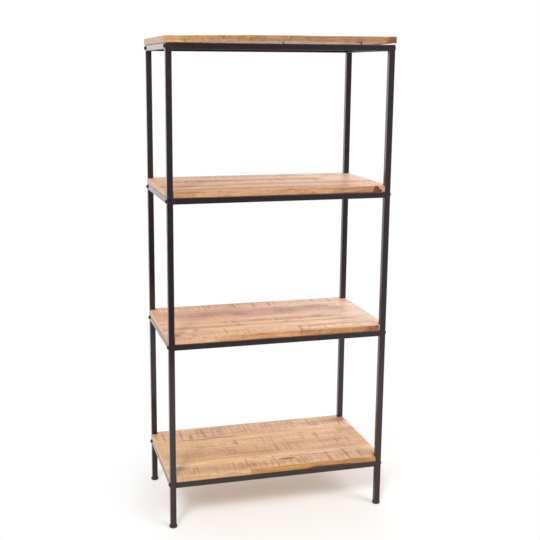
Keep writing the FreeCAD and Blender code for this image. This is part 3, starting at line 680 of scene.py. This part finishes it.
upper_paint = Paint(
    seed=63,
    painted_light_drift=(0.25, 0.34),
    staves=((-204, "#DBA77B"), (-98, "#E0B085"), (8, "#EABC98"), (97, "#EBC09F")),
    streaks=((-380, 380, -60, 24, "#B6876A", 0.65), (-380, -160, -80, 22, "#AC8254", 0.6),
             (-380, 330, -112, 12, "#EBB98E", 0.55), (-330, 260, -160, 22, "#B27C5E", 0.65),
             (-380, 380, -198, 8, "#D08E50", 0.7), (-160, 300, 6, 12, "#EDC2A0", 0.6),
             (-380, 380, 92, 9, "#E4B898", 0.4), (-330, 220, 50, 30, "#B88A74", 0.5),
             (-380, -160, -10, 22, "#DDAE78", 0.5)),
    smudges=((-290, -76, 50, 18, "#A57C58", 0.55), (-190, -84, 40, 12, "#A88048", 0.55),
             (-110, -165, 40, 18, "#A07058", 0.55), (60, -165, 60, 18, "#A87850", 0.55),
             (290, 150, 34, 40, "#B98A78", 0.5), (300, 100, 40, 24, "#F6D2A6", 0.6),
             (-60, -40, 60, 14, "#B48A70", 0.5), (120, 160, 60, 26, "#C59680", 0.45),
             (330, -198, 9, 8, "#5E2A20", 0.9)),
    saw_rows=((-330, -60, 14, 88, 8.5, 0.90), (-60, 220, 10, 86, 13.0, 0.75),
              (-350, 260, -200, -128, 10.0, 0.50), (-200, 340, 100, 196, 12.0, 0.42),
              (-120, 260, -70, -10, 14.0, 0.30)),
    marks=((-305, 12, 62, 4.0, 0.7), (-270, 8, 76, 5.0, 0.6), (-252, 10, 70, 3.0, 0.6),
           (-226, 2, 86, 5.0, 1.0), (-208, 14, 66, 3.0, 0.7), (-184, 20, 72, 4.4, 0.8),
           (-156, 22, 86, 3.6, 0.8), (-142, 18, 60, 3.0, 0.8), (-128, 20, 60, 2.6, 0.7),
           (-95, 12, 62, 3.2, 0.8), (-78, 26, 66, 3.2, 0.6), (24, 8, 52, 4.4, 0.7),
           (68, 8, 74, 4.6, 0.8), (112, 24, 70, 3.6, 0.6), (187, 0, 70, 4.2, 0.7),
           (-87, -150, -112, 3.4, 0.7), (5, -172, -112, 3.2, 0.6)),
    edge=((-358, "#D69C70"), (-250, "#DAA77E"), (-150, "#D6A47A"), (0, "#D8A27A"), (150, "#D4A276"),
          (250, "#CC9A6E"), (312, "#C08A60"), (352, "#DCA484")),
    edge_spots=((-260, 12, 90, 8, 0, "#D0946C", 0.35), (-120, 17, 120, 5, 0, "#E2B896", 0.5),
                (346, 6, 4, 3, 0, "#2E1814", 1.0)),
    flecks=(-330, 300, 34, 0.22),
    # bark and a split: x from and to at the bottom, the same at the top, colour, strength
    wedges=((316, 347, 322, 331, "#84402A", 1.0), (345, 350, 329, 333, "#3A1F1A", 0.9)))

top_paint = Paint(
    seed=74,
    painted_light_drift=(0.0, 0.12),
    staves=((-206, "#D2A47E"), (-104, "#D8AC86"), (2, "#D0A078"), (108, "#D9AE88")),
    streaks=((-380, 380, -150, 24, "#C09370", 0.5), (-380, 380, -60, 16, "#E6BC90", 0.5),
             (-300, 300, 40, 20, "#BC906C", 0.45), (-380, 380, 150, 16, "#E6BE94", 0.5),
             (-380, 200, -110, 6, "#AE8C62", 0.5)),
    smudges=((-180, 60, 16, 11, "#74493E", 0.85), (210, -130, 40, 16, "#A37C64", 0.55),
             (60, 140, 50, 20, "#BC8A6C", 0.5), (366, -180, 16, 24, "#93533F", 0.85),
             (-260, -150, 34, 18, "#A9865C", 0.5)),
    saw_rows=((-370, 370, -202, -116, 9.0, 0.50), (-370, 370, 14, 98, 14.0, 0.36),
              (-360, 330, 116, 200, 9.0, 0.52)),
    marks=((-300, -196, -130, 3.0, 0.6), (-40, 20, 80, 3.2, 0.6), (140, -196, -120, 3.0, 0.7),
           (250, 30, 90, 3.2, 0.6), (-120, 120, 190, 2.8, 0.6)),
    edge=((-382, "#EAAC7D"), (-330, "#DCA473"), (-250, "#D29F71"), (-150, "#CE9A6B"), (-60, "#C6946B"),
          (60, "#BB906A"), (120, "#BC8C6B"), (250, "#BC8769"), (346, "#BC8A64"), (382, "#BC8A64")),
    # The pale line low along the front edge is painted light, for the light that shows through the slit
    # under the board.
    edge_spots=((-325, 2, 52, 3.2, 0, "#E6BC80", 0.8), (40, 0, 300, 1.3, 0, "#F0DECA", 0.9),
                (254, 1.0, 15, 2.6, 0, "#33231E", 1.0),
                (80, 14, 14, 8, 0, "#9E7250", 0.5), (212, 11, 10, 12, 0.2, "#A87660", 0.5),
                (252, 12, 12, 12, 0.1, "#A06C58", 0.5), (351, 11, 2.0, 16, 0.8, "#7A4A38", 0.6)),
    flecks=(-335, 30, 90, 0.50),
    wedges=((346, 400, 363, 400, "#93533F", 1.0),),
    # no painted groove shade, as its front edge stands clear of the rail
    painted_groove_shade=0.0)

make_board("bottom_board", NOTCH, level_board, bottom_paint, wood)
make_board("lower_board", NOTCH, level_board, lower_paint, wood)
make_board("upper_board", NOTCH, level_board, upper_paint, wood)
make_board("top_board", 0, wound_board, top_paint, wood)


# ---- Board screws -----------------------------------------------------------
# Turned and zinc-plated steel screws.  They come up through the long rails into the boards,
# so that no fastening shows on the boards' upper faces.

# Painted shade: a darkened copy of the zinc plate, dark and hardly shiny, so that the screws stay dark
# in the shade of the rails and hardly catch the eye.
dull, tree, shader, place = new_material("shade_darkened_zinc_steel")
DARK_PATCH = 2 * MM
patches(tree, shader, place, DARK_PATCH, 3.0, ("#2A2624", "#4C4744"), (0.4, 0.6))
shader.inputs["Metallic"].default_value = 0.8
for tier in TIERS:
    nodes[f"{tier}_board_screws"].material_slots[0].material = dull


# ---- Feet -------------------------------------------------------------------
# A black nylon plug closes each upright's lower end.  An M8 stud turns in it and carries a
# moulded nylon disc with a rounded lower edge and a thin lip round its upper face.

# Black nylon: smooth and faintly brown, with scuffed patches.  The mould's fine grain is
# drawn coarser than it is so that it shows.
nylon, tree, shader, place = new_material("moulded_black_nylon")
SCUFF, MOULD_GRAIN, MOULD_DEPTH = 6 * MM, 0.35 * MM, 0.04 * MM
patches(tree, shader, place, SCUFF, 5.0, ("#332D2D", "#4E4645"), (0.16, 0.30))
fine_relief(tree, shader, place, MOULD_GRAIN, 2.0, 0.3, MOULD_DEPTH)
shader.inputs["IOR"].default_value = 1.53

# Radius and height of the disc's section, in millimetres, from its sole up to its neck.
DISC = ((0, 0.5), (9.5, 0.5), (10, 0), (11.2, 0), (12.4, 0.35), (13.3, 1.1), (13.8, 2.0), (14, 3.2),
        (14, 6.3), (13.9, 6.9), (13.6, 7.2), (13.2, 7.25), (12.8, 7.0), (12.3, 6.75), (7.2, 6.75),
        (6.8, 7.0), (6.6, 7.6), (6.2, 8.0), (4.2, 8.0), (4.05, 7.6), (4.05, 5.0), (0, 5.0))
TURNS = 64
# Shallow grips for the fingers are cut into its side, beyond this radius and between these heights.
GRIPS, GRIP_DEPTH, GRIP_SHARPNESS = 3, 0.35, 12
GRIP_RADIUS, GRIP_LOW, GRIP_HIGH = 13.5, 2.5, 7

for corner_name in CORNERS:
    nodes[f"{corner_name}_foot_insert"].material_slots[0].material = nylon
    nodes[f"{corner_name}_levelling_stud"].material_slots[0].material = zinc
    low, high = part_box(f"{corner_name}_foot_disc")
    middle = (low + high) / 2
    points, faces = [], []
    for radius, z in DISC:
        depth = GRIP_DEPTH if GRIP_RADIUS < radius and GRIP_LOW < z < GRIP_HIGH else 0.0
        for t in range(TURNS):
            angle = 2 * math.pi * t / TURNS
            grip = depth * max(0.0, math.cos(GRIPS * angle)) ** GRIP_SHARPNESS
            reach = (radius - grip) * MM
            points.append((middle.x + reach * math.cos(angle), middle.y + reach * math.sin(angle),
                           low.z + z * MM))
    for k in range(len(DISC) - 1):
        for t in range(TURNS):
            a, b = k * TURNS + t, k * TURNS + (t + 1) % TURNS
            faces.append((a, b, b + TURNS, a + TURNS))
    disc = put_mesh(f"{corner_name}_foot_disc_turned", points, faces, nylon,
                    f"{corner_name}_disc")
    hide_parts(f"{corner_name}_foot_disc")


# ---- Floor, light and camera ------------------------------------------------
# A matt, pale studio floor that runs out to white.  Two large screens in front of the unit,
# left and right, and a weaker one behind it light it softly from about 40 degrees up.

# How far the floor reaches and where its front edge lies, in metres.
FLOOR_REACH, FLOOR_FRONT = 9.0, -1.95
# Where the fade to white has its middle, and the distances at which it starts and ends.
FADE_MIDDLE, FADE_START, FADE_END = (0.16, -0.08, 0.0), 0.36, 0.82
floor_mesh = bpy.data.meshes.new("floor")
floor_mesh.from_pydata([(-FLOOR_REACH, FLOOR_FRONT, 0), (FLOOR_REACH, FLOOR_FRONT, 0),
                        (FLOOR_REACH, FLOOR_REACH, 0), (-FLOOR_REACH, FLOOR_REACH, 0)],
                       [], [(0, 1, 2, 3)])
floor = bpy.data.objects.new("floor", floor_mesh)
bpy.context.scene.collection.objects.link(floor)

# Near the unit the floor takes its shadow.  Further out it gives off an even white, so that no
# horizon shows.  For the light that bounces off it, it is plain matt white everywhere.
paper, tree, shader, place = new_material("matt_white_floor")
tree.nodes.remove(shader)
output = tree.nodes["Material Output"]
lit = add(tree, "BsdfDiffuse", {"Color": linear("#ECEAE8")})
# The steel mirrors the floor a little warmer than it looks.
path = add(tree, "LightPath")
near_colour, far_colour = [
    add(tree, "Mix", {"Factor": path.outputs["Is Camera Ray"], 6: linear(mirrored), 7: linear(straight)},
        data_type="RGBA").outputs[2]
    for mirrored, straight in (("#E6DAD3", "#E4EBEE"), ("#FFF2F0", "#FFFFFF"))]
cool = add(tree, "BsdfDiffuse", {"Color": near_colour})
seen = path.outputs["Is Camera Ray"]
for ray in ("Is Glossy Ray", "Is Transmission Ray"):
    seen = add(tree, "Math", {0: seen, 1: path.outputs[ray]}, operation="MAXIMUM").outputs[0]
glow = add(tree, "Emission", {"Color": linear("#847469"), "Strength": path.outputs["Is Camera Ray"]})
sum_near = add(tree, "AddShader", {0: cool.outputs[0], 1: glow.outputs[0]})
near = add(tree, "MixShader", {0: seen, 1: lit.outputs[0], 2: sum_near.outputs[0]})
far_glow = add(tree, "Emission", {"Color": far_colour, "Strength": 1.0})
far = add(tree, "MixShader", {0: seen, 1: lit.outputs[0], 2: far_glow.outputs[0]})
away = add(tree, "VectorMath", {0: place, 1: FADE_MIDDLE}, operation="DISTANCE")
ramp = add(tree, "MapRange", {"Value": away.outputs["Value"], "From Min": FADE_START,
                              "From Max": FADE_END}, interpolation_type="SMOOTHSTEP")
surface = add(tree, "MixShader", {0: ramp.outputs[0], 1: near.outputs[0], 2: far.outputs[0]})
tree.links.new(surface.outputs[0], output.inputs["Surface"])
floor_mesh.materials.append(paper)

# Seen straight on, the studio is even white.  The steel mirrors a room instead, set out below
# by direction from the unit: X to the right of someone facing it, Y behind it, Z up.
world = bpy.data.worlds.new("white_studio")
bpy.context.scene.world = world
world.use_nodes = True
tree = world.node_tree
background = tree.nodes["Background"]
way = add(tree, "TexCoord").outputs["Generated"]
parts = add(tree, "SeparateXYZ", {"Vector": way})
path = add(tree, "LightPath")
# The room behind the camera is dimmer than the white walls beside and behind the unit.
room = add(tree, "MapRange", {"Value": parts.outputs["Y"], "From Min": -0.35, "From Max": -1.0,
                              "To Min": 1.15, "To Max": 0.12})
# The walls darken upward.  A window brightens the right, and the left wall is paler than the
# strip between them.
wall = add(tree, "MapRange", {"Value": parts.outputs["Z"], "From Min": 0.0, "From Max": 0.35,
                              "To Min": 1.0, "To Max": 0.3})
window = add(tree, "MapRange", {"Value": parts.outputs["X"], "From Min": 0.15, "From Max": 0.40,
                                "To Min": 0.35, "To Max": 2.0})
left_wall = add(tree, "MapRange", {"Value": parts.outputs["X"], "From Min": -0.02, "From Max": -0.12,
                                   "To Max": 1.32})
window = add(tree, "Math", {0: window.outputs[0], 1: left_wall.outputs[0]}, operation="MAXIMUM")
for share in (wall, window):
    room = add(tree, "Math", {0: room.outputs[0], 1: share.outputs[0]}, operation="MULTIPLY")
# A pale door stands open in the dim wall straight in front of the unit.  For its right and
# left sides, depth, foot and top: where it starts to show and where it shows fully.
DOOR = 1.15
door = [add(tree, "MapRange", {"Value": parts.outputs[axis], "From Min": start, "From Max": end},
            interpolation_type="SMOOTHSTEP").outputs[0]
        for axis, start, end in (("X", 0.168, 0.130), ("X", -0.10, 0.0), ("Y", -0.85, -0.93),
                                 ("Z", -0.15, -0.10), ("Z", 0.20, 0.08))]
shine = add(tree, "Math", {0: door[0], 1: DOOR}, operation="MULTIPLY")
for share in door[1:]:
    shine = add(tree, "Math", {0: shine.outputs[0], 1: share}, operation="MULTIPLY")
room = add(tree, "Math", {0: room.outputs[0], 1: shine.outputs[0]}, operation="ADD")
# Matt surfaces get this even light from all sides.  A Mix of numbers takes them at inputs 2
# and 3.
AMBIENT = 0.42
mirrored = add(tree, "Mix", {"Factor": path.outputs["Is Glossy Ray"], 2: AMBIENT, 3: room.outputs[0]})
strength = add(tree, "Mix", {"Factor": path.outputs["Is Camera Ray"], 2: mirrored.outputs[0], 3: 1.0})
tree.links.new(strength.outputs[0], background.inputs["Strength"])
white = add(tree, "Mix", {"Factor": path.outputs["Is Glossy Ray"], 6: linear("#FFFFFF"),
                          7: linear("#FFF6F5")}, data_type="RGBA")
tree.links.new(white.outputs[2], background.inputs["Color"])

# Name, azimuth from the front towards the right and height in degrees, strength, and the
# width of the screen in degrees.
SCREENS = (("left_screen", -31, 42, 1.4, 14), ("right_screen", 38, 42, 1.25, 32),
           ("back_screen", 170, 40, 0.5, 40))
for name, azimuth, climb, power, width in SCREENS:
    lamp = bpy.data.lights.new(name, "SUN")
    lamp.energy = power
    lamp.angle = math.radians(width)
    screen = bpy.data.objects.new(name, lamp)
    bpy.context.scene.collection.objects.link(screen)
    turn, rise = math.radians(azimuth), math.radians(climb)
    source = Vector((math.sin(turn) * math.cos(rise), -math.cos(turn) * math.cos(rise), math.sin(rise)))
    screen.rotation_euler = source.to_track_quat("Z", "Y").to_euler()

# The camera's place in metres, and the degrees by which it turns right, looks down and leans.
VIEW_PLACE = Vector((-0.8829, -3.0798, 1.5340))
VIEW_YAW, VIEW_PITCH, VIEW_ROLL = math.radians(14.643), math.radians(11.310), math.radians(0.240)
# Focal length and sensor width in millimetres, and the shift in shares of the picture's width.
LENS, SENSOR = 61.953, 36.0
SHIFT_X, SHIFT_Y = 0.05, -0.03
ahead = Vector((math.sin(VIEW_YAW) * math.cos(VIEW_PITCH), math.cos(VIEW_YAW) * math.cos(VIEW_PITCH),
                -math.sin(VIEW_PITCH)))
level = Vector((math.cos(VIEW_YAW), -math.sin(VIEW_YAW), 0))
over = level.cross(ahead)
right = math.cos(VIEW_ROLL) * level + math.sin(VIEW_ROLL) * over
upward = -math.sin(VIEW_ROLL) * level + math.cos(VIEW_ROLL) * over
camera_data = bpy.data.cameras.new("camera")
camera_data.lens = LENS
camera_data.sensor_width = SENSOR
camera_data.shift_x = SHIFT_X
camera_data.shift_y = SHIFT_Y
camera = bpy.data.objects.new("camera", camera_data)
bpy.context.scene.collection.objects.link(camera)
turned = Matrix((right, upward, -ahead)).transposed().to_4x4()
camera.matrix_world = Matrix.Translation(VIEW_PLACE) @ turned
bpy.context.scene.camera = camera
bpy.context.scene.view_settings.view_transform = "Standard"
